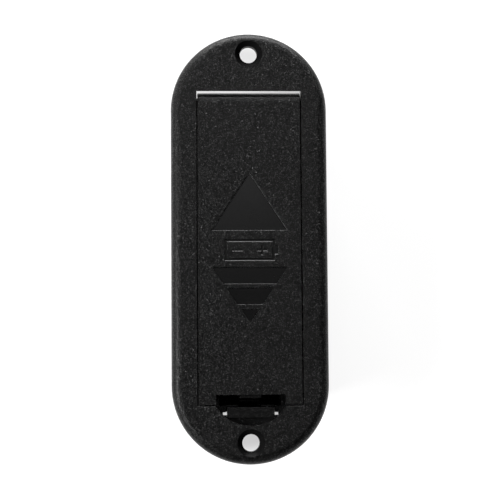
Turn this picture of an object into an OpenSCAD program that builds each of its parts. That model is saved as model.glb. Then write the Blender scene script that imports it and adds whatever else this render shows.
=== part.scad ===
// Nine volt battery holder: an oval plate, a deep box behind it and a hinged door.
// The battery stands on edge in the box, with its terminals against two leaf contacts.
// Origin: midway between the two screw holes, on the back of the plate.
// +Z comes out of the front and +Y points to the hinge.

/* [Plate] */
// Length of the oval plate
plate_length = 80; // [60:0.5:120]
// Width of the oval plate
plate_width = 29; // [27:0.5:50]
// Thickness of the plate
plate_thickness = 2.4; // [2.3:0.1:4]
// Radius of the rounded front edge of the plate
plate_edge_radius = 1.8; // [0.4:0.1:2]

/* [Screw holes] */
// Distance from each end of the plate to the middle of its screw hole
screw_inset = 4; // [3.2:0.1:4.4]
// Diameter of each screw hole
screw_hole_d = 3.2; // [2.4:0.1:4]
// Diameter of the countersink at the front of the plate
countersink_d = 5; // [4.4:0.1:7]

/* [Battery box] */
// Length of the flange beyond the hinge end of the opening
hinge_flange = 10.95; // [9.5:0.05:13]
// Length of the flange beyond the latch end of the opening
latch_flange = 10.75; // [10.3:0.05:13]
// Inside width of the box
box_inner_w = 18.2; // [17.8:0.1:22]
// Inside depth of the box, below the closed door
box_inner_depth = 27.6; // [24:0.1:34]
// Thickness of the side and end walls
wall = 1.2; // [0.9:0.1:2]
// Thickness of the floor
floor_thickness = 1.4; // [1:0.1:3]
// Radius of the upright outer corners of the box
box_corner_radius = 1; // [0.5:0.1:1.1]
// Gap from the opening's hinge end to the end wall of the box
end_slit = 0.6; // [0.5:0.05:1.2]
// Thickness left at the opening's hinge edge, which is cut away from below
hinge_lip = 0.6; // [0.4:0.1:1.2]
// Reach of the two ribs that keep the battery off the latch spring
stop_rib_reach = 4; // [3:0.1:6]
// Thickness of those ribs
stop_rib_thickness = 1.2; // [0.8:0.1:2]

/* [Door] */
// Thickness of the door
door_thickness = 1.8; // [1.4:0.1:2]
// Width of the shelf under each long side of the door
shelf_w = 0.6; // [0.4:0.1:1]
// Gap between the door and the plate along three sides
door_gap = 0.15; // [0.1:0.05:0.4]
// Chamfer on the edges of the door and of the opening
edge_break = 0.1; // [0.05:0.05:0.3]
// Height of the two stiffening ribs under the door
door_rib_height = 0.6; // [0.3:0.1:0.8]
// Width of each stiffening rib
door_rib_w = 0.8; // [0.6:0.1:1.6]
// Distance between the two stiffening ribs
door_rib_spacing = 10; // [6:0.5:13]

/* [Hinge] */
// Radius of the door's rounded hinge end
barrel_radius = 2.1; // [1.8:0.1:2.4]
// Gap from that rounded end to the end of the opening
barrel_end_gap = 0.15; // [0.1:0.05:0.8]
// Diameter of the two hinge pins
hinge_pin_d = 1.8; // [1.2:0.1:2.2]
// Length of each pin inside its bearing
hinge_pin_grip = 1.2; // [0.8:0.1:2]
// Thickness of the bearing around and behind each pin
bearing_wall = 1; // [0.7:0.1:1.6]

/* [Latch] */
// Width of the finger tab
tab_w = 8.7; // [6:0.1:10]
// Length of the finger tab, from its inner to its outer edge
tab_length = 1.9; // [1.6:0.1:2.3]
// Thickness of the finger tab
tab_thickness = 0.8; // [0.6:0.1:1]
// Depth of the tab's face below the front of the plate
tab_sink = 0.3; // [0.1:0.05:0.4]
// Thickness of the latch leg that carries the tab
leg_thickness = 0.95; // [0.7:0.05:1.2]
// Room between the door's notch and the tab, which the tab moves into
tab_travel_room = 2.25; // [1.9:0.05:3]
// Width of the notch in the door
notch_w = 12.7; // [11:0.1:15]
// Width of the U-shaped spring
spring_w = 3.9; // [2:0.1:5.5]
// Thickness of the U-shaped spring
spring_thickness = 0.6; // [0.4:0.05:0.7]
// Depth of the spring's bend below the front of the plate
spring_depth = 8.4; // [7.5:0.1:12]
// Grip of the hook behind the plate
hook_grip = 0.45; // [0.3:0.05:0.6]
// Height of the hook
hook_height = 1.4; // [1:0.1:2]
// Depth of the pocket in the back of the plate that takes the hook
hook_pocket_depth = 0.5; // [0.3:0.05:0.6]

/* [Finger scoop] */
// Width of the scoop at the edge of the opening
scoop_w = 13; // [12.6:0.1:15]
// Reach of the scoop from the edge of the opening
scoop_reach = 3.6; // [3:0.1:4]
// Depth of the scoop
scoop_depth = 1.3; // [1.1:0.1:1.5]
// Slope of the scoop's wall, measured across the plate
scoop_slope = 0.05; // [0.05:0.05:0.4]
// Length of the slot that the latch leg passes through
latch_slot_length = 1.7; // [1.6:0.05:2.2]
// Width of the slot on each side of the leg
latch_slot_side = 0.75; // [0.4:0.05:1]

/* [Door marks] */
// Depth of the marks sunk into the door
mark_depth = 0.25; // [0.1:0.05:0.5]
// Width of the triangle and of the striped arrow
mark_w = 13.9; // [8:0.1:15]
// Height of the triangle
triangle_height = 10.6; // [6:0.1:14]
// Distance from the middle of the plate to the base of the triangle
triangle_base = 3; // [1:0.1:6]
// Height of the striped arrow
arrow_height = 10.2; // [8:0.1:14]
// Distance from the middle of the plate to the first stripe
arrow_start = 3.9; // [2:0.1:6]
// Height of each stripe of the arrow
stripe_height = 2.95; // [1.5:0.05:3.2]
// Gap between the stripes
stripe_gap = 0.85; // [0.4:0.05:1.2]

/* [Contacts] */
// Distance between the battery's two terminals
terminal_spacing = 12.7; // [12.5:0.1:13]
// Room above the battery, below the closed door
battery_headroom = 1.1; // [0.6:0.1:2]
// Thickness of the spring strip
contact_thickness = 0.35; // [0.2:0.05:0.4]
// Width of the spring strip
contact_w = 6; // [5:0.1:8]
// Gap between the upper contact and the room for the door's rounded end
contact_headroom = 0.8; // [0.4:0.1:1.2]
// Slant of the leaf away from the wall
leaf_slant = 28; // [15:1:35]
// Width of the solder lug
lug_w = 3; // [2:0.1:4]
// Height of the solder lug, which is bent up behind the wall
lug_length = 4.5; // [3.5:0.1:6]
// Diameter of the hole in the solder lug
lug_hole_d = 1.5; // [1:0.1:1.8]

/* [Clearances] */
// Radial clearance of the hinge pins in their bearings
pin_clearance = 0.05; // [0.02:0.01:0.1]
// End clearance of the hinge pins
pin_end_clearance = 0.15; // [0.1:0.05:0.4]
// Clearance between the door and the shelf that it rests on
seat_clearance = 0.05; // [0.02:0.01:0.1]
// Clearance of the box around the door's rounded end
barrel_clearance = 0.35; // [0.2:0.05:0.6]
// Clearance around the latch leg
latch_clearance = 0.2; // [0.15:0.05:0.4]
// Clearance between the hook and the roof of its pocket
hook_clearance = 0.3; // [0.25:0.05:0.5]
// Clearance between the finger tab and the wall of the scoop
tab_side_clearance = 0.1; // [0.05:0.05:0.3]
// Clearance between the leg and the end of the spring's bend
spring_joint_gap = 0.1; // [0.05:0.05:0.2]
// Clearance around the contacts where they pass through the wall
contact_clearance = 0.12; // [0.08:0.02:0.2]

/* [Hidden] */
$fn = 64;

// Overlap that lets a cut run past a surface, and a small one where two cuts meet
over = 0.5;
cut_overlap = 0.05;

// Plate
plate_end_radius = plate_width / 2;
plate_straight = plate_length - plate_width;
countersink_depth = (countersink_d - screw_hole_d) / 2;
screw_y = plate_length / 2 - screw_inset;

// Opening and box
opening_w = box_inner_w + 2 * shelf_w;
opening_end_y = plate_length / 2 - hinge_flange;
latch_end_y = latch_flange - plate_length / 2;
door_under_z = plate_thickness - door_thickness;
shelf_z = door_under_z - seat_clearance;
box_outer_w = box_inner_w + 2 * wall;
box_floor_z = door_under_z - box_inner_depth;
box_bottom_z = box_floor_z - floor_thickness;
latch_wall_inner_y = latch_end_y;
latch_wall_outer_y = latch_wall_inner_y - wall;
hinge_wall_outer_y = opening_end_y - end_slit;
hinge_wall_inner_y = hinge_wall_outer_y - wall;

// Hinge
pivot_y = opening_end_y - barrel_end_gap - barrel_radius;
pivot_z = plate_thickness - barrel_radius;
barrel_bottom_z = pivot_z - barrel_radius - barrel_clearance;
barrel_room_y = pivot_y - barrel_radius - barrel_clearance;
door_w = opening_w - 2 * door_gap;
hinge_pin_r = hinge_pin_d / 2;
bearing_r = hinge_pin_r + pin_clearance;
pin_end_x = opening_w / 2 + hinge_pin_grip;
bearing_end_x = pin_end_x + pin_end_clearance;
bearing_block_x = bearing_end_x + bearing_wall;

// Latch, from the door's notch out to the hook
door_end_y = latch_end_y + door_gap;
tab_inner_y = latch_end_y - latch_clearance;
tab_outer_y = tab_inner_y - tab_length;
tab_top_z = plate_thickness - tab_sink;
tab_under_z = tab_top_z - tab_thickness;
notch_y = tab_inner_y + tab_travel_room;
leg_outer_y = tab_inner_y - leg_thickness;
spring_inner_y = notch_y - spring_thickness;
bend_inner_r = (spring_inner_y - tab_inner_y) / 2;
bend_outer_r = bend_inner_r + spring_thickness;
bend_y = tab_inner_y + bend_inner_r;
bend_z = plate_thickness - spring_depth;
spring_top_z = door_under_z + 0.6;
slot_end_y = latch_end_y - latch_slot_length;
hook_tip_y = slot_end_y - hook_grip;
hook_top_z = hook_pocket_depth - hook_clearance;
hook_tip_height = 0.3;
hook_pocket_end_y = hook_tip_y - latch_clearance;
leg_foot_drop = 1.8;
leg_foot_z = hook_top_z - hook_height - leg_foot_drop;
window_w = tab_w + 2 * latch_clearance;
window_step_z = leg_foot_z - 2 * latch_clearance;
spring_window_w = spring_w + 2 * latch_clearance;
window_bottom_z = bend_z - bend_outer_r - 2 * latch_clearance;

// Scoop: a circle through the ends of its chord and its lowest point
scoop_r = (pow(scoop_w / 2, 2) + pow(scoop_reach, 2)) / (2 * scoop_reach);
scoop_centre_y = latch_end_y - scoop_reach + scoop_r;
scoop_floor_z = plate_thickness - scoop_depth;
tab_end_r = scoop_r - scoop_slope - tab_side_clearance;

// Contacts
terminal_mid_z = box_floor_z + (box_inner_depth - battery_headroom) / 2;
contact_y = hinge_wall_inner_y - contact_clearance - contact_thickness / 2;
lug_y = hinge_wall_outer_y + contact_clearance + contact_thickness / 2;
contact_bend_r = 0.3;
contact_fold_r = 0.6;
contact_nose_r = 0.8;
contact_nose_angle = 70;
contact_end_run = 1;
contact_tail_drop = 4;
bend_mid_r = contact_bend_r + contact_thickness / 2;
strip_overlap = 0.01;
keeper_thickness = 0.8;
keeper_lip = 0.6;
keeper_side = 0.5;
keeper_top_gap = 2.3;

// The fold of the upper contact stays under the door's rounded end, and the lower one is the same
fold_top_z = barrel_bottom_z - contact_headroom;
fold_rise = fold_top_z - contact_fold_r - contact_thickness - terminal_mid_z - terminal_spacing / 2;
contact_height = fold_rise + contact_tail_drop - bend_mid_r;

// The leaf is as long as brings its rounded nose to the height of the battery's terminal
leaf_length = (fold_rise + (contact_fold_r - contact_nose_r) * sin(leaf_slant)) / cos(leaf_slant);

// A bar along X with its length centred on the YZ plane
module cross_bar(radius, length) {
    rotate([0, 90, 0])
        cylinder(h = length, r = radius, center = true);
}

// A block centred on the YZ plane, between two Y values and two Z values
module centred_block(width, y_from, y_to, z_from, z_to) {
    translate([-width / 2, y_from, z_from])
        cube([width, y_to - y_from, z_to - z_from]);
}

// The same block on both sides of the YZ plane, from x_from out to x_to
module paired_blocks(x_from, x_to, y_from, y_to, z_from, z_to) {
    for (side = [0, 1])
        mirror([side, 0, 0])
            translate([x_from, y_from, z_from])
                cube([x_to - x_from, y_to - y_from, z_to - z_from]);
}

// Half of the plate's section: square at the back, rounded at the front edge
module plate_half_section() {
    union() {
        square([plate_end_radius - plate_edge_radius, plate_thickness]);
        square([plate_end_radius, plate_thickness - plate_edge_radius]);
        translate([plate_end_radius - plate_edge_radius, plate_thickness - plate_edge_radius])
            intersection() {
                circle(r = plate_edge_radius);
                square(plate_edge_radius);
            }
    }
}

// The section is turned round both ends and drawn along the straight sides
module plate_blank() {
    translate([0, plate_straight / 2, 0])
        rotate_extrude(angle = 180)
            plate_half_section();
    translate([0, -plate_straight / 2, 0])
        rotate([0, 0, 180])
            rotate_extrude(angle = 180)
                plate_half_section();
    for (side = [0, 1])
        mirror([side, 0, 0])
            rotate([90, 0, 0])
                linear_extrude(height = plate_straight, center = true)
                    plate_half_section();
}

// Outline of the box seen from the front, with rounded corners
module box_outline() {
    corner_x = box_outer_w / 2 - box_corner_radius;
    hull_y_from = latch_wall_outer_y + box_corner_radius;
    hull_y_to = hinge_wall_outer_y - box_corner_radius;
    union() {
        translate([-box_outer_w / 2, hull_y_from])
            square([box_outer_w, hull_y_to - hull_y_from]);
        translate([-corner_x, latch_wall_outer_y])
            square([2 * corner_x, hinge_wall_outer_y - latch_wall_outer_y]);
        for (x = [-corner_x, corner_x])
            for (y = [hull_y_from, hull_y_to])
                translate([x, y])
                    circle(r = box_corner_radius);
    }
}

module box_shell() {
    translate([0, 0, box_bottom_z])
        linear_extrude(height = shelf_z - box_bottom_z)
            box_outline();
}

// Bearings for the hinge pins: half-round cheeks under the plate, beside the box
module bearing_cheeks() {
    intersection() {
        translate([0, pivot_y, pivot_z])
            cross_bar(bearing_r + bearing_wall, 2 * bearing_block_x);
        centred_block(2 * bearing_block_x + over, pivot_y - 2 * barrel_radius, hinge_wall_outer_y,
            box_bottom_z, plate_thickness / 2);
    }
}

module screw_holes() {
    for (y = [-screw_y, screw_y])
        translate([0, y, 0]) {
            translate([0, 0, -over])
                cylinder(h = plate_thickness + 2 * over, d = screw_hole_d);
            translate([0, 0, plate_thickness - countersink_depth])
                cylinder(h = countersink_depth, d1 = screw_hole_d, d2 = countersink_d);
            translate([0, 0, plate_thickness])
                cylinder(h = over, d = countersink_d);
        }
}

// The D-shaped finger scoop, only beyond the end of the opening
module scoop_cut() {
    intersection() {
        translate([0, scoop_centre_y, scoop_floor_z]) {
            cylinder(h = scoop_depth, r1 = scoop_r - scoop_slope, r2 = scoop_r);
            translate([0, 0, scoop_depth])
                cylinder(h = over, r = scoop_r);
        }
        centred_block(2 * scoop_r, latch_end_y - scoop_reach - over, latch_end_y + over,
            scoop_floor_z, plate_thickness + over);
    }
}

// The hinge edge of the opening is cut away from below, so that only a thin lip is left
module hinge_undercut() {
    lip_z = plate_thickness - hinge_lip;
    translate([-opening_w / 2, opening_end_y, 0])
        rotate([90, 0, 90])
            linear_extrude(height = opening_w)
                polygon([
                    [-over, lip_z],
                    [0, lip_z],
                    [lip_z + over, -over],
                    [-over, -over]
                ]);
}

// Section of the cut that breaks two opposite edges of the opening
module edge_break_section(from, to) {
    polygon([
        [from, plate_thickness - edge_break],
        [to, plate_thickness - edge_break],
        [to + edge_break + over, plate_thickness + over],
        [from - edge_break - over, plate_thickness + over]
    ]);
}

module opening_cut() {
    // Seat of the door, with its edges broken
    centred_block(opening_w, latch_end_y, opening_end_y, shelf_z, plate_thickness + over);
    translate([0, opening_end_y, 0])
        rotate([90, 0, 0])
            linear_extrude(height = opening_end_y - latch_end_y)
                edge_break_section(-opening_w / 2, opening_w / 2);
    translate([-opening_w / 2, 0, 0])
        rotate([90, 0, 90])
            linear_extrude(height = opening_w)
                edge_break_section(latch_end_y, opening_end_y);
    // Inside of the box
    centred_block(box_inner_w, latch_wall_inner_y, hinge_wall_inner_y, box_floor_z, plate_thickness);
    // Room for the door's rounded end, open to the back beyond the end wall
    centred_block(opening_w, barrel_room_y, hinge_wall_outer_y, barrel_bottom_z, plate_thickness);
    centred_block(opening_w, hinge_wall_outer_y, opening_end_y, -over, plate_thickness);
    hinge_undercut();
}

module latch_cuts() {
    // Slot in the floor of the scoop, wider than the latch leg
    slot_w = tab_w + 2 * latch_slot_side;
    slot_top_z = scoop_floor_z + cut_overlap;
    centred_block(slot_w, slot_end_y, latch_end_y + over, 0, slot_top_z);
    centred_block(slot_w, slot_end_y, latch_wall_outer_y, -over, slot_top_z);
    // Pocket in the back of the plate for the hook
    centred_block(window_w, hook_pocket_end_y, latch_wall_outer_y, -over, hook_pocket_depth);
    // Window in the end wall of the box: wide for the leg, narrow for the spring below it
    centred_block(window_w, latch_wall_outer_y - over, latch_wall_inner_y + over,
        window_step_z, slot_top_z);
    centred_block(spring_window_w, latch_wall_outer_y - over, latch_wall_inner_y + over,
        window_bottom_z, slot_top_z);
}

// The two ribs in the box that the battery rests against
module stop_ribs() {
    rib_x = window_w / 2 + wall;
    rib_top_z = barrel_bottom_z;
    paired_blocks(rib_x, rib_x + stop_rib_thickness, latch_wall_inner_y - wall / 2,
        latch_wall_inner_y + stop_rib_reach, box_floor_z - floor_thickness / 2, rib_top_z);
}

// Hooked keepers that hold the edges of a contact against the end wall
module contact_keepers(terminal_z) {
    lip_x = contact_w / 2 - keeper_lip;
    side_x = contact_w / 2 + contact_clearance;
    groove_y = contact_y - contact_thickness / 2 - contact_clearance;
    z_from = terminal_z - contact_tail_drop + contact_thickness + contact_bend_r + contact_clearance;
    z_to = terminal_z + fold_rise - keeper_top_gap;
    paired_blocks(side_x, side_x + keeper_side, groove_y - keeper_thickness,
        hinge_wall_inner_y + wall / 2, z_from, z_to);
    paired_blocks(lip_x, side_x + keeper_side, groove_y - keeper_thickness, groove_y, z_from, z_to);
}

// Slot in the end wall for the solder lug of a contact
module lug_slot(terminal_z) {
    tail_z = terminal_z - contact_tail_drop;
    centred_block(lug_w + 2 * contact_clearance, hinge_wall_inner_y - over, hinge_wall_outer_y + over,
        tail_z - contact_thickness / 2 - contact_clearance,
        tail_z + contact_thickness / 2 + contact_clearance);
}

module base() {
    color([0.13, 0.13, 0.135]) {
        difference() {
            union() {
                plate_blank();
                box_shell();
                bearing_cheeks();
            }
            opening_cut();
            latch_cuts();
            scoop_cut();
            screw_holes();
            translate([0, pivot_y, pivot_z])
                cross_bar(bearing_r, 2 * bearing_end_x);
            for (step = [-0.5, 0.5])
                lug_slot(terminal_mid_z + step * terminal_spacing);
        }
        stop_ribs();
        for (step = [-0.5, 0.5])
            contact_keepers(terminal_mid_z + step * terminal_spacing);
    }
}

// Triangle that points to the hinge
module triangle_mark() {
    polygon([
        [-mark_w / 2, triangle_base],
        [mark_w / 2, triangle_base],
        [0, triangle_base + triangle_height]
    ]);
}

// Half the width of the striped arrow at a distance below its first edge
function arrow_half_w(below) = mark_w / 2 * (1 - below / arrow_height);

// Arrow that points to the latch, broken into two stripes and a small triangle
module arrow_mark() {
    for (stripe = [0, 1]) {
        top = stripe * (stripe_height + stripe_gap);
        bottom = top + stripe_height;
        polygon([
            [-arrow_half_w(top), -arrow_start - top],
            [arrow_half_w(top), -arrow_start - top],
            [arrow_half_w(bottom), -arrow_start - bottom],
            [-arrow_half_w(bottom), -arrow_start - bottom]
        ]);
    }
    tip_top = 2 * (stripe_height + stripe_gap);
    polygon([
        [-arrow_half_w(tip_top), -arrow_start - tip_top],
        [arrow_half_w(tip_top), -arrow_start - tip_top],
        [0, -arrow_start - arrow_height]
    ]);
}

module door_marks() {
    translate([0, 0, plate_thickness - mark_depth])
        linear_extrude(height = mark_depth + over) {
            triangle_mark();
            arrow_mark();
        }
}

// Inner leg of the U-shaped spring and its bend, moulded to the edge of the door's notch
module door_spring() {
    centred_block(spring_w, spring_inner_y, notch_y, bend_z, spring_top_z);
    translate([-spring_w / 2, bend_y, bend_z])
        rotate([90, 0, 90])
            rotate([0, 0, 180])
                rotate_extrude(angle = 180)
                    translate([bend_inner_r, 0])
                        square([spring_thickness, spring_w]);
}

// Flat part of the door, with its long edges broken
module door_plate() {
    translate([0, pivot_y, 0])
        rotate([90, 0, 0])
            linear_extrude(height = pivot_y - door_end_y)
                polygon([
                    [-door_w / 2, door_under_z],
                    [door_w / 2, door_under_z],
                    [door_w / 2, plate_thickness - edge_break],
                    [door_w / 2 - edge_break, plate_thickness],
                    [-door_w / 2 + edge_break, plate_thickness],
                    [-door_w / 2, plate_thickness - edge_break]
                ]);
}

// Chamfer along the latch end of the door
module latch_end_chamfer() {
    translate([-door_w / 2 - over, door_end_y, plate_thickness])
        rotate([90, 0, 90])
            linear_extrude(height = door_w + 2 * over)
                polygon([
                    [-over, over],
                    [edge_break + over, over],
                    [-over, -edge_break - over]
                ]);
}

// Rounded hinge end of the door with its two pins, the rims of its ends broken too
module door_barrel() {
    translate([0, pivot_y, pivot_z]) {
        cross_bar(barrel_radius, door_w - 2 * edge_break);
        cross_bar(hinge_pin_r, 2 * pin_end_x);
        for (side = [-90, 90])
            rotate([0, side, 0])
                translate([0, 0, door_w / 2 - edge_break])
                    cylinder(h = edge_break, r1 = barrel_radius, r2 = barrel_radius - edge_break);
    }
}

module door() {
    color([0.14, 0.14, 0.145]) {
        difference() {
            union() {
                door_plate();
                door_barrel();
                paired_blocks(door_rib_spacing / 2 - door_rib_w / 2, door_rib_spacing / 2 + door_rib_w / 2,
                    latch_wall_inner_y + stop_rib_reach, barrel_room_y,
                    door_under_z - door_rib_height, door_under_z + door_thickness / 2);
            }
            centred_block(notch_w, door_end_y - over, notch_y, door_under_z - over, plate_thickness + over);
            latch_end_chamfer();
            door_marks();
        }
        door_spring();
    }
}

// Outer leg of the latch: finger tab on top, hook behind the plate, foot on the spring's bend
module latch() {
    color([0.2, 0.2, 0.205]) {
        // Finger tab, its outer corners following the wall of the scoop
        intersection() {
            centred_block(tab_w, tab_outer_y, tab_inner_y, tab_under_z, tab_top_z);
            translate([0, scoop_centre_y, tab_under_z])
                cylinder(h = tab_thickness, r = tab_end_r);
        }
        // Leg
        centred_block(tab_w, leg_outer_y, tab_inner_y, leg_foot_z, tab_under_z);
        centred_block(spring_w, tab_inner_y - spring_thickness, tab_inner_y,
            bend_z + spring_joint_gap, leg_foot_z);
        // Hook, with a slope below that lets it snap past the plate
        translate([-tab_w / 2, 0, 0])
            rotate([90, 0, 90])
                linear_extrude(height = tab_w)
                    polygon([
                        [leg_outer_y, hook_top_z],
                        [hook_tip_y, hook_top_z],
                        [hook_tip_y, hook_top_z - hook_tip_height],
                        [leg_outer_y, hook_top_z - hook_height]
                    ]);
    }
}

// A straight run of strip along X, and what follows it
module strip_run(length, width) {
    translate([-strip_overlap, -contact_thickness / 2, -width / 2])
        cube([length + 2 * strip_overlap, contact_thickness, width]);
    translate([length, 0, 0])
        children();
}

// A bend of the strip by an angle, left when positive, and what follows it
module strip_bend(inner_r, angle, width) {
    side = angle > 0 ? 1 : -1;
    mid_r = inner_r + contact_thickness / 2;
    translate([0, side * mid_r, -width / 2])
        mirror([0, angle > 0 ? 0 : 1, 0])
            rotate([0, 0, -90])
                rotate_extrude(angle = abs(angle))
                    translate([inner_r, 0])
                        square([contact_thickness, width]);
    translate([0, side * mid_r, 0])
        rotate([0, 0, angle])
            translate([0, -side * mid_r, 0])
                children();
}

// The part of a contact inside the box: upright, fold, slanted leaf and rounded nose
module contact_leaf() {
    strip_run(contact_height, contact_w)
        strip_bend(contact_fold_r, 180 - leaf_slant, contact_w)
            strip_run(leaf_length, contact_w)
                strip_bend(contact_nose_r, contact_nose_angle, contact_w)
                    strip_run(contact_end_run, contact_w);
}

// A leaf contact, drawn from the top of its lug down, through the wall and up inside the box
module contact(terminal_z) {
    lug_top_z = terminal_z - contact_tail_drop + lug_length;
    difference() {
        translate([0, lug_y, lug_top_z])
            rotate([90, 0, 90])
                rotate([0, 0, -90])
                    strip_run(lug_length - bend_mid_r, lug_w)
                        strip_bend(contact_bend_r, -90, lug_w)
                            strip_run(lug_y - contact_y - 2 * bend_mid_r, lug_w)
                                strip_bend(contact_bend_r, -90, lug_w)
                                    contact_leaf();
        translate([0, lug_y, lug_top_z - lug_w / 2])
            rotate([90, 0, 0])
                cylinder(h = 4 * contact_thickness, d = lug_hole_d, center = true);
    }
}

module contact_positive() {
    color([0.78, 0.77, 0.74])
        contact(terminal_mid_z + terminal_spacing / 2);
}

module contact_negative() {
    color([0.78, 0.77, 0.74])
        contact(terminal_mid_z - terminal_spacing / 2);
}

base();
door();
latch();
contact_positive();
contact_negative();
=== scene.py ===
import math

import bmesh
import bpy
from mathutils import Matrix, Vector


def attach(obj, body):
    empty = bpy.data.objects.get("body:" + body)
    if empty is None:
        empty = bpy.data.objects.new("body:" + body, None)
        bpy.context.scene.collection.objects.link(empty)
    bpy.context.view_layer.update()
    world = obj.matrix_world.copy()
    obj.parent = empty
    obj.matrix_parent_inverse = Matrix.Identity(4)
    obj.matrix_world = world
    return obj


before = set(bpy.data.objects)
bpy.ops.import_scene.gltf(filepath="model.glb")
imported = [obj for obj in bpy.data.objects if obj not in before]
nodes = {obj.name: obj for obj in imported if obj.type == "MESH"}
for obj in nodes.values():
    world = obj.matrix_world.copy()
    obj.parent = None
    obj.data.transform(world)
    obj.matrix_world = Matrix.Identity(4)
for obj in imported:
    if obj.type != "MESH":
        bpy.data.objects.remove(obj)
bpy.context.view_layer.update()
print("loaded", len(nodes), "CAD nodes")

mm = 0.001

# Heights and places of the CAD that the materials line up with, in metres
plate = {
    "top": 2.4 * mm,
    "radius": 14.5 * mm,
    "straight": 25.5 * mm,       # half the length of the plate's straight sides
    "screwY": 36.0 * mm,
    "countersink": 2.5 * mm,     # its radius at the face
    "boxBottom": -28.4 * mm,
}


def newMaterial(name):
    material = bpy.data.materials.new(name)
    material.use_nodes = True
    tree = material.node_tree
    tree.nodes.clear()
    output = tree.nodes.new("ShaderNodeOutputMaterial")
    shader = tree.nodes.new("ShaderNodeBsdfPrincipled")
    tree.links.new(shader.outputs["BSDF"], output.inputs["Surface"])
    return material, tree, shader


def calc(tree, operation, first, second=None, third=None, clamp=False):
    node = tree.nodes.new("ShaderNodeMath")
    node.operation = operation
    node.use_clamp = clamp
    for slot, value in enumerate((first, second, third)):
        if value is None:
            continue
        if isinstance(value, (int, float)):
            node.inputs[slot].default_value = value
        else:
            tree.links.new(value, node.inputs[slot])
    return node.outputs[0]


def vectorCalc(tree, operation, first, second):
    node = tree.nodes.new("ShaderNodeVectorMath")
    node.operation = operation
    for slot, value in enumerate((first, second)):
        if isinstance(value, tuple):
            node.inputs[slot].default_value = value
        else:
            tree.links.new(value, node.inputs[slot])
    return node.outputs["Value"] if operation == "DOT_PRODUCT" else node.outputs["Vector"]


def calcEach(tree, operation, terms):
    total = terms[0]
    for term in terms[1:]:
        total = calc(tree, operation, total, term)
    return total


def addUp(tree, *terms):
    return calcEach(tree, "ADD", terms)


def largest(tree, *terms):
    return calcEach(tree, "MAXIMUM", terms)


def smallest(tree, *terms):
    return calcEach(tree, "MINIMUM", terms)


def oneMinus(tree, share):
    return calc(tree, "SUBTRACT", 1.0, share)


# Distance from a value to a centre, on either side
def away(tree, value, centre):
    return calc(tree, "ABSOLUTE", calc(tree, "SUBTRACT", value, centre))


# Length of the step (first, second)
def reach(tree, first, second):
    return calc(tree, "SQRT", calc(tree, "MULTIPLY_ADD", first, first, calc(tree, "MULTIPLY", second, second)))


def noise(tree, coords, scale, detail=2.0, roughness=0.5):
    node = tree.nodes.new("ShaderNodeTexNoise")
    node.inputs["Scale"].default_value = scale
    node.inputs["Detail"].default_value = detail
    node.inputs["Roughness"].default_value = roughness
    tree.links.new(coords, node.inputs["Vector"])
    return node.outputs["Fac"]


# Takes the values between the two of band to the ones between low and high
def ramp(tree, value, band, low=0.0, high=1.0, smooth=False):
    node = tree.nodes.new("ShaderNodeMapRange")
    node.interpolation_type = "SMOOTHSTEP" if smooth else "LINEAR"
    node.inputs["From Min"].default_value = band[0]
    node.inputs["From Max"].default_value = band[1]
    node.inputs["To Min"].default_value = low
    node.inputs["To Max"].default_value = high
    tree.links.new(value, node.inputs["Value"])
    return node.outputs["Result"]


def mixColour(tree, factor, first, second):
    node = tree.nodes.new("ShaderNodeMix")
    node.data_type = "RGBA"
    for name, value in (("A", first), ("B", second)):
        if isinstance(value, tuple):
            node.inputs[name].default_value = (*value, 1)
        else:
            tree.links.new(value, node.inputs[name])
    tree.links.new(factor, node.inputs["Factor"])
    return node.outputs["Result"]


def addBump(tree, shader, height, strength=1.0, distance=1.0):
    bump = tree.nodes.new("ShaderNodeBump")
    bump.inputs["Strength"].default_value = strength
    bump.inputs["Distance"].default_value = distance
    tree.links.new(height, bump.inputs["Height"])
    tree.links.new(bump.outputs["Normal"], shader.inputs["Normal"])


# Places on the object at rest, in metres
def restCoords(tree):
    coords = tree.nodes.new("ShaderNodeTexCoord").outputs["Object"]
    split = tree.nodes.new("ShaderNodeSeparateXYZ")
    tree.links.new(coords, split.inputs[0])
    return coords, split.outputs["X"], split.outputs["Y"], split.outputs["Z"]


# The moulded texture of the black plastic: small facets, most of them nearly level and a few steep
grain = {
    "pitch": 0.14 * mm,
    "slope": 0.11,               # tilt of a common facet
    "steepSlope": 0.65,          # what the steepest ones add
    "steepPower": 4.0,           # the higher, the fewer of them
    "fine": 0.003 * mm,          # depth of the roughening on the facets
    "fineScale": 2.2,            # how much finer than the facets it is
    "colour": 0.0016,
    "cloudScale": 95.0,          # slow drift of the colour
    "cloudDark": (0.85, 0.85, 0.87),
    "cloudPale": (1.15, 1.15, 1.2),
    "paintedGlint": 0.038,              # painted glints: how much paler the palest facets are painted, in place of the glints of the moulded texture
    "paintedGlintPower": 8.0,           # the higher, the fewer of them
    "roughness": 0.36,
    "smoothRoughness": 0.25,
    "wearScale": 240.0,
    "wear": (-0.02, 0.025),      # roughness that handling takes and leaves
    "gloss": 0.25,               # specular level
    "dullLoss": 0.9,             # share of the level that a matt place lacks
    "paintedMattSheen": 0.13,            # painted sheen: share of the painted glint paleness that a matt place has all over, in place of the reflection it lacks
}
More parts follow.
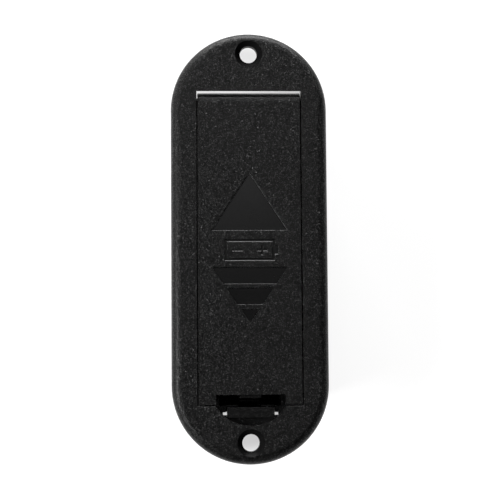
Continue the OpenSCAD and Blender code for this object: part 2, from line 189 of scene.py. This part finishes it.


# Height in metres, and the share of painted glint on each facet from 0 to 1
def grainFacets(tree, coords):
    facets = tree.nodes.new("ShaderNodeTexVoronoi")
    facets.inputs["Scale"].default_value = 1.0 / grain["pitch"]
    tree.links.new(coords, facets.inputs["Vector"])
    offset = vectorCalc(tree, "SUBTRACT", coords, facets.outputs["Position"])
    tilt = vectorCalc(tree, "SUBTRACT", facets.outputs["Color"], (0.5, 0.5, 0.5))
    chance = tree.nodes.new("ShaderNodeSeparateXYZ")
    tree.links.new(facets.outputs["Color"], chance.inputs[0])
    steep = calc(tree, "POWER", chance.outputs["Z"], grain["steepPower"])
    slope = calc(tree, "MULTIPLY_ADD", steep, 2.0 * grain["steepSlope"], 2.0 * grain["slope"])
    height = calc(tree, "MULTIPLY", vectorCalc(tree, "DOT_PRODUCT", offset, tilt), slope)
    fine = noise(tree, coords, grain["fineScale"] / grain["pitch"], 2.0, 0.6)
    height = calc(tree, "MULTIPLY_ADD", fine, grain["fine"], height)
    return height, calc(tree, "POWER", chance.outputs["X"], grain["paintedGlintPower"])


# Finishes one plastic: height is in metres, grained runs from 0, polished, to 1, textured,
# and dull from 0 to 1, matt, with a painted sheen in its colour
def plasticShader(tree, shader, coords, grained, height=None, dull=None):
    shader.inputs["Specular IOR Level"].default_value = grain["gloss"]
    if dull is not None:
        gloss = calc(tree, "MULTIPLY_ADD", dull, -grain["dullLoss"] * grain["gloss"], grain["gloss"])
        tree.links.new(gloss, shader.inputs["Specular IOR Level"])

    facetHeight, paintedGlintMask = grainFacets(tree, coords)
    texture = calc(tree, "MULTIPLY", facetHeight, grained)
    addBump(tree, shader, texture if height is None else calc(tree, "ADD", texture, height))

    # Handling polishes some patches a little more than others
    wear = noise(tree, coords, grain["wearScale"], 3.0, 0.6)
    smooth = grain["smoothRoughness"]
    spread = calc(tree, "MULTIPLY_ADD", grained, grain["roughness"] - smooth, smooth)
    roughness = addUp(tree, spread, ramp(tree, wear, (0.3, 0.7), *grain["wear"]))
    tree.links.new(roughness, shader.inputs["Roughness"])

    level = grain["colour"]
    cloud = noise(tree, coords, grain["cloudScale"], 4.0, 0.55)
    dark, light = (tuple(level * share for share in grain[name]) for name in ("cloudDark", "cloudPale"))
    colour = mixColour(tree, cloud, dark, light)
    # Painted glints: a few facets are painted paler, standing in for the glints that the texture catches
    paintedGlintShare = calc(tree, "MULTIPLY", paintedGlintMask, grained)
    # Matt places get part of the painted glint paleness all over: a painted sheen in place of the reflection they
    # lack
    if dull is not None:
        paintedGlintShare = largest(tree, paintedGlintShare, calc(tree, "MULTIPLY", dull, grain["paintedMattSheen"]))
    colour = mixColour(tree, paintedGlintShare, colour, (level + grain["paintedGlint"],) * 3)
    tree.links.new(colour, shader.inputs["Base Color"])


# Rings that the ejector pins of the mould leave, one in each quarter of a face
pinMarks = {
    "radius": 1.6 * mm,
    "line": 0.10 * mm,
    "depth": 0.05 * mm,
    "boxPlace": (5.2 * mm, 17.0 * mm),
    "doorPlace": (6.0 * mm, 14.0 * mm),
}


def pinHeight(tree, x, y, place):
    acrossX, acrossY = [
        calc(tree, "SUBTRACT", calc(tree, "ABSOLUTE", value), centre) for value, centre in zip((x, y), place)
    ]
    fromRing = away(tree, reach(tree, acrossX, acrossY), pinMarks["radius"])
    return ramp(tree, fromRing, (0.0, pinMarks["line"]), -pinMarks["depth"], 0.0, smooth=True)


# Where each place of the case starts and ends: distances from the middle line or the screw, or heights
caseFinish = {
    "rim": (plate["radius"] - 2.0 * mm, plate["radius"] - 1.9 * mm),
    "rimUnder": (-0.3 * mm, 0.0),
    "face": (plate["top"] - 0.16 * mm, plate["top"] - 0.10 * mm),
    "cone": (plate["countersink"], plate["countersink"] + 0.1 * mm),
    "boxFloor": (-26.9 * mm, -26.6 * mm),
    "plain": 0.15,               # how much of the texture the plain places have
}


def casePlastic():
    material, tree, shader = newMaterial("casePlastic")
    coords, x, y, z = restCoords(tree)
    # Textured on the face and the rounded rim, plainer in the scoop, the countersinks and on the box behind
    f = caseFinish
    beyond = largest(tree, calc(tree, "SUBTRACT", calc(tree, "ABSOLUTE", y), plate["straight"]), 0.0)
    rim = calc(tree, "MULTIPLY", ramp(tree, reach(tree, x, beyond), f["rim"]), ramp(tree, z, f["rimUnder"]))
    face = ramp(tree, z, f["face"])
    # The countersinks are matt, with a painted sheen in their colour
    fromScrew = calc(tree, "SUBTRACT", calc(tree, "ABSOLUTE", y), plate["screwY"])
    cone = ramp(tree, reach(tree, x, fromScrew), f["cone"], 1.0, 0.0)
    textured = calc(tree, "MULTIPLY", largest(tree, rim, face), oneMinus(tree, cone))
    pins = pinHeight(tree, x, y, pinMarks["boxPlace"])
    pins = calc(tree, "MULTIPLY", pins, ramp(tree, z, f["boxFloor"], 1.0, 0.0))
    plasticShader(tree, shader, coords, largest(tree, textured, f["plain"]), pins, cone)
    return material


# The sunk marks on the door, as in the CAD
marks = {
    "halfWidth": 6.95 * mm,
    "triangleBase": 3.0 * mm,
    "triangleHeight": 10.6 * mm,
    "arrowStart": 3.9 * mm,
    "arrowHeight": 10.2 * mm,
    "stripeHeight": 2.95 * mm,
    "stripeGap": 0.85 * mm,
    "shoulder": 0.18 * mm,       # rounding outside each mark
    "shoulderDrop": 0.08 * mm,
    "sharpSides": 40.0,          # how much narrower the rounding is at the stripes' slanted ends
}


# Distance beyond the line through start along (alongX, alongY), positive to its right-hand side
def beyondLine(tree, x, y, start, alongX, alongY):
    length = math.hypot(alongX, alongY)
    normalX, normalY = alongY / length, -alongX / length
    offset = -(normalX * start[0] + normalY * start[1])
    return addUp(tree, calc(tree, "MULTIPLY", x, normalX), calc(tree, "MULTIPLY", y, normalY), offset)


# Distance outside the nearest rounded edge: all of the triangle's, and the level ones of the stripes
def markDistance(tree, x, y):
    m = marks
    sideX = calc(tree, "ABSOLUTE", x)
    triangle = largest(
        tree,
        beyondLine(tree, sideX, y, (m["halfWidth"], m["triangleBase"]), -m["halfWidth"], m["triangleHeight"]),
        calc(tree, "SUBTRACT", m["triangleBase"], y),
    )
    tip = (0.0, -m["arrowStart"] - m["arrowHeight"])
    side = beyondLine(tree, sideX, y, tip, m["halfWidth"], m["arrowHeight"])
    shapes = [triangle]
    for stripe in (0, 1):
        top = -m["arrowStart"] - stripe * (m["stripeHeight"] + m["stripeGap"])
        bottom = top - m["stripeHeight"]
        levelEdges = largest(tree, calc(tree, "SUBTRACT", y, top), calc(tree, "SUBTRACT", bottom, y))
        shapes.append(largest(tree, levelEdges, calc(tree, "MULTIPLY", side, m["sharpSides"])))
    return smallest(tree, *shapes)


# A battery seen from the side, with a plus and a minus
pictogram = {
    "middleY": -0.65 * mm,
    "halfWidth": 4.4 * mm,
    "halfHeight": 1.75 * mm,
    "line": 0.42 * mm,
    "terminalX": 4.85 * mm,
    "terminalHalf": (0.40 * mm, 0.80 * mm),
    "signX": 2.3 * mm,
    "signHalf": 0.95 * mm,
    "depth": 0.10 * mm,
    "soft": 0.14 * mm,
}


def boxDistance(tree, x, y, centre, half):
    overX = calc(tree, "SUBTRACT", away(tree, x, centre[0]), half[0])
    overY = calc(tree, "SUBTRACT", away(tree, y, centre[1]), half[1])
    return largest(tree, overX, overY)


def pictogramDistance(tree, x, y):
    p = pictogram
    half = p["line"] / 2
    middleY = p["middleY"]
    body = boxDistance(tree, x, y, (0.0, middleY), (p["halfWidth"], p["halfHeight"]))
    outline = calc(tree, "SUBTRACT", calc(tree, "ABSOLUTE", body), half)
    terminal = boxDistance(tree, x, y, (p["terminalX"], middleY), p["terminalHalf"])
    plusAcross = boxDistance(tree, x, y, (p["signX"], middleY), (p["signHalf"], half))
    plusUp = boxDistance(tree, x, y, (p["signX"], middleY), (half, p["signHalf"]))
    minus = boxDistance(tree, x, y, (-p["signX"], middleY), (p["signHalf"], half))
    return smallest(tree, outline, terminal, plusAcross, plusUp, minus)


# Heights at which each place of the door starts and ends
doorFinish = {
    "face": (plate["top"] - 0.02 * mm, plate["top"] - 0.005 * mm),
    "aboveMarks": (plate["top"] - 0.2 * mm, plate["top"] - 0.1 * mm),
    "markFloors": (plate["top"] - 0.3 * mm, plate["top"] - 0.26 * mm),
    "under": (0.3 * mm, 1.2 * mm),
    "pins": (0.65 * mm, 0.9 * mm),
    "underTexture": 0.25,
    "sideTexture": 0.3,
}


def doorPlastic():
    material, tree, shader = newMaterial("doorPlastic")
    coords, x, y, z = restCoords(tree)
    f = doorFinish
    onFace = ramp(tree, z, f["face"])
    aboveMarks = ramp(tree, z, f["aboveMarks"])

    outside = calc(tree, "DIVIDE", markDistance(tree, x, y), marks["shoulder"], clamp=True)
    shoulder = calc(tree, "POWER", oneMinus(tree, outside), 2.0)
    shoulder = calc(tree, "MULTIPLY", calc(tree, "MULTIPLY", shoulder, -marks["shoulderDrop"]), onFace)
    soft = pictogram["soft"] / 2
    lines = ramp(tree, pictogramDistance(tree, x, y), (-soft, soft), 1.0, 0.0, smooth=True)
    lines = calc(tree, "MULTIPLY", lines, onFace)
    pins = pinHeight(tree, x, y, pinMarks["doorPlace"])
    pins = calc(tree, "MULTIPLY", pins, ramp(tree, z, f["pins"], 1.0, 0.0))
    height = addUp(tree, shoulder, calc(tree, "MULTIPLY", lines, -pictogram["depth"]), pins)

    underside = ramp(tree, z, f["under"], f["underTexture"], 1.0)
    grained = smallest(tree, aboveMarks, underside, oneMinus(tree, lines))
    # Side faces and underside keep some texture, and only the sunk floors are polished
    markFloors = calc(tree, "MULTIPLY", oneMinus(tree, aboveMarks), ramp(tree, z, f["markFloors"]))
    unpolished = oneMinus(tree, largest(tree, markFloors, lines))
    grained = largest(tree, grained, calc(tree, "MULTIPLY", unpolished, f["sideTexture"]))
    plasticShader(tree, shader, coords, grained, height)
    return material


# The tab is nearly polished, and its texture grows with the height
latchFinish = {
    "rise": (0.0, 1.0 * mm),
    "texture": (0.15, 0.4),
}


def latchPlastic():
    material, tree, shader = newMaterial("latchPlastic")
    coords, _, _, z = restCoords(tree)
    plasticShader(tree, shader, coords, ramp(tree, z, latchFinish["rise"], *latchFinish["texture"]))
    return material


contact = {
    "colour": (0.66, 0.64, 0.60),
    "darkShare": 0.88,           # of the colour, in the darker clouds
    "cloudScale": 500.0,
    "roughness": (0.23, 0.36),
    "markScale": (9000, 500, 500),
    "markDepth": 0.004 * mm,
    "markStrength": 0.6,
}


def contactMetal():
    material, tree, shader = newMaterial("contactMetal")
    coords = restCoords(tree)[0]
    shader.inputs["Metallic"].default_value = 1.0
    cloud = noise(tree, coords, contact["cloudScale"], 3.0)
    dark = tuple(share * contact["darkShare"] for share in contact["colour"])
    tree.links.new(mixColour(tree, cloud, dark, contact["colour"]), shader.inputs["Base Color"])
    # Rolling marks run along the strip
    stretch = tree.nodes.new("ShaderNodeMapping")
    stretch.inputs["Scale"].default_value = contact["markScale"]
    tree.links.new(coords, stretch.inputs["Vector"])
    lines = noise(tree, stretch.outputs["Vector"], 1.0, 2.0)
    tree.links.new(ramp(tree, lines, (0.3, 0.7), *contact["roughness"]), shader.inputs["Roughness"])
    addBump(tree, shader, lines, contact["markStrength"], contact["markDepth"])
    return material


def paint(nodeName, material):
    mesh = nodes[nodeName].data
    mesh.materials.clear()
    mesh.materials.append(material)


paint("base", casePlastic())
paint("door", doorPlastic())
paint("latch", latchPlastic())
metal = contactMetal()
paint("contact_positive", metal)
paint("contact_negative", metal)
print("materials done")

# Raised polarity signs on both side walls of the box, beside the contact that each one names
signs = {
    "wallX": 9.1 * mm,
    "y": 19.5 * mm,
    "plusZ": -7.5 * mm,
    "minusZ": -20.2 * mm,
    "armLength": 1.5 * mm,
    "armWidth": 0.34 * mm,
    "height": 0.25 * mm,
    "chamfer": 0.08 * mm,
    "root": 0.02 * mm,           # how far they reach into the wall
}


# Outline of a cross or of a bar in the plane of the wall
def signOutline(length, width, cross):
    if not cross:
        return [(-length, -width), (length, -width), (length, width), (-length, width)]
    quarter = [(width, width), (width, length), (-width, length)]
    outline = []
    for turn in range(4):
        for a, b in quarter:
            for _ in range(turn):
                a, b = -b, a
            outline.append((a, b))
    return outline


def buildSigns(name, z, cross):
    mesh = bpy.data.meshes.new(name)
    form = bmesh.new()
    inset = signs["chamfer"]
    levels = ((-signs["root"], 0.0), (signs["height"] - inset, 0.0), (signs["height"], inset))
    for side in (-1, 1):
        loops = []
        for rise, less in levels:
            outline = signOutline(signs["armLength"] - less, signs["armWidth"] - less, cross)
            x = side * (signs["wallX"] - rise)
            loops.append([form.verts.new((x, signs["y"] + a, z + b)) for a, b in outline])
        for lower, upper in zip(loops, loops[1:]):
            for i in range(len(lower)):
                j = (i + 1) % len(lower)
                form.faces.new((lower[i], lower[j], upper[j], upper[i]))
        form.faces.new(loops[-1])
    bmesh.ops.recalc_face_normals(form, faces=form.faces)
    form.to_mesh(mesh)
    form.free()
    piece = bpy.data.objects.new(name, mesh)
    bpy.context.collection.objects.link(piece)
    mesh.materials.append(nodes["base"].data.materials[0])
    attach(piece, "holder")


buildSigns("plusSigns", signs["plusZ"], True)
buildSigns("minusSigns", signs["minusZ"], False)
print("signs done")

stage = {
    "floorSize": 20.0,
    "floorGap": 0.02 * mm,       # between the box and the floor
    "floorAlbedo": 0.5,
    "floorRoughness": 0.9,
    "floorGloss": 0.1,
    "glow": 0.82,                # what the floor adds where it is seen, so that it reads as white
    "glowReach": (0.07, 0.22),
    "shade": (12 * mm, 17 * mm),
    "shadeGlow": 0.35,           # share of the glow that is left in the shade below the object
    "shadeShift": 2.5 * mm,      # how far the shade reaches further towards the hinge
    "worldLevel": 0.01,
}

# Softboxes around the object: direction in degrees, distance, width and height, power in watts
lamps = {
    "leftLamp": {"azimuth": 196, "elevation": 40, "distance": 0.5, "size": (0.16, 0.16), "power": 2.3},
    "backLamp": {"azimuth": 90, "elevation": 7, "distance": 1.0, "size": (1.00, 0.30), "power": 21.1},
    "cornerLamp": {"azimuth": 140, "elevation": 30, "distance": 0.6, "size": (0.25, 0.25), "power": 0.4},
    "overheadLamp": {"azimuth": 97, "elevation": 76, "distance": 1.1, "size": (0.45, 0.30), "power": 0.88},
}


def floorPaper():
    material, tree, shader = newMaterial("floorPaper")
    shader.inputs["Base Color"].default_value = (stage["floorAlbedo"],) * 3 + (1,)
    shader.inputs["Roughness"].default_value = stage["floorRoughness"]
    shader.inputs["Specular IOR Level"].default_value = stage["floorGloss"]
    path = tree.nodes.new("ShaderNodeLightPath")
    seen = largest(tree, *(path.outputs[ray] for ray in ("Is Camera Ray", "Is Glossy Ray", "Is Transmission Ray")))
    coords, x, y, z = restCoords(tree)
    near = ramp(tree, reach(tree, x, y), stage["glowReach"], stage["glow"], 0.0, smooth=True)
    fromMiddle = away(tree, y, stage["shadeShift"])
    beyond = largest(tree, calc(tree, "SUBTRACT", fromMiddle, plate["straight"] + stage["shadeShift"]), 0.0)
    shade = ramp(tree, reach(tree, x, beyond), stage["shade"], stage["shadeGlow"], 1.0, smooth=True)
    near = calc(tree, "MULTIPLY", near, shade)
    shader.inputs["Emission Color"].default_value = (1, 1, 1, 1)
    tree.links.new(calc(tree, "MULTIPLY", seen, near), shader.inputs["Emission Strength"])
    return material


def buildFloor():
    half = stage["floorSize"] / 2
    z = plate["boxBottom"] - stage["floorGap"]
    mesh = bpy.data.meshes.new("floor")
    mesh.from_pydata([(-half, -half, z), (half, -half, z), (half, half, z), (-half, half, z)], [], [(0, 1, 2, 3)])
    mesh.materials.append(floorPaper())
    floor = bpy.data.objects.new("floor", mesh)
    bpy.context.collection.objects.link(floor)
    return floor


def softbox(name, lamp):
    turn, rise = math.radians(lamp["azimuth"]), math.radians(lamp["elevation"])
    towards = Vector((math.cos(rise) * math.cos(turn), math.cos(rise) * math.sin(turn), math.sin(rise)))
    data = bpy.data.lights.new(name, "AREA")
    data.shape = "RECTANGLE"
    data.size, data.size_y = lamp["size"]
    data.energy = lamp["power"]
    light = bpy.data.objects.new(name, data)
    light.location = towards * lamp["distance"]
    light.rotation_euler = (-towards).to_track_quat("-Z", "Y").to_euler()
    bpy.context.collection.objects.link(light)
    return light


buildFloor()
[softbox(name, lamp) for name, lamp in lamps.items()]

world = bpy.data.worlds.new("studio")
bpy.context.scene.world = world
world.use_nodes = True
background = world.node_tree.nodes["Background"]
background.inputs["Color"].default_value = (1, 1, 1, 1)
background.inputs["Strength"].default_value = stage["worldLevel"]

# The camera stands nearly above the plate: place in metres, turn in degrees, lens and sensor in millimetres
viewpoint = {
    "place": (-11.3 * mm, -20.4 * mm, 261.5 * mm),
    "turn": (4.37, -2.47, -0.42),
    "lens": 101.66,
    "sensor": 36,
    "nearest": 0.01,
}

cameraData = bpy.data.cameras.new("camera")
cameraData.lens = viewpoint["lens"]
cameraData.sensor_width = viewpoint["sensor"]
cameraData.clip_start = viewpoint["nearest"]
camera = bpy.data.objects.new("camera", cameraData)
camera.location = viewpoint["place"]
camera.rotation_euler = [math.radians(angle) for angle in viewpoint["turn"]]
bpy.context.collection.objects.link(camera)
bpy.context.scene.camera = camera
bpy.context.scene.view_settings.view_transform = "Standard"
print("stage done")
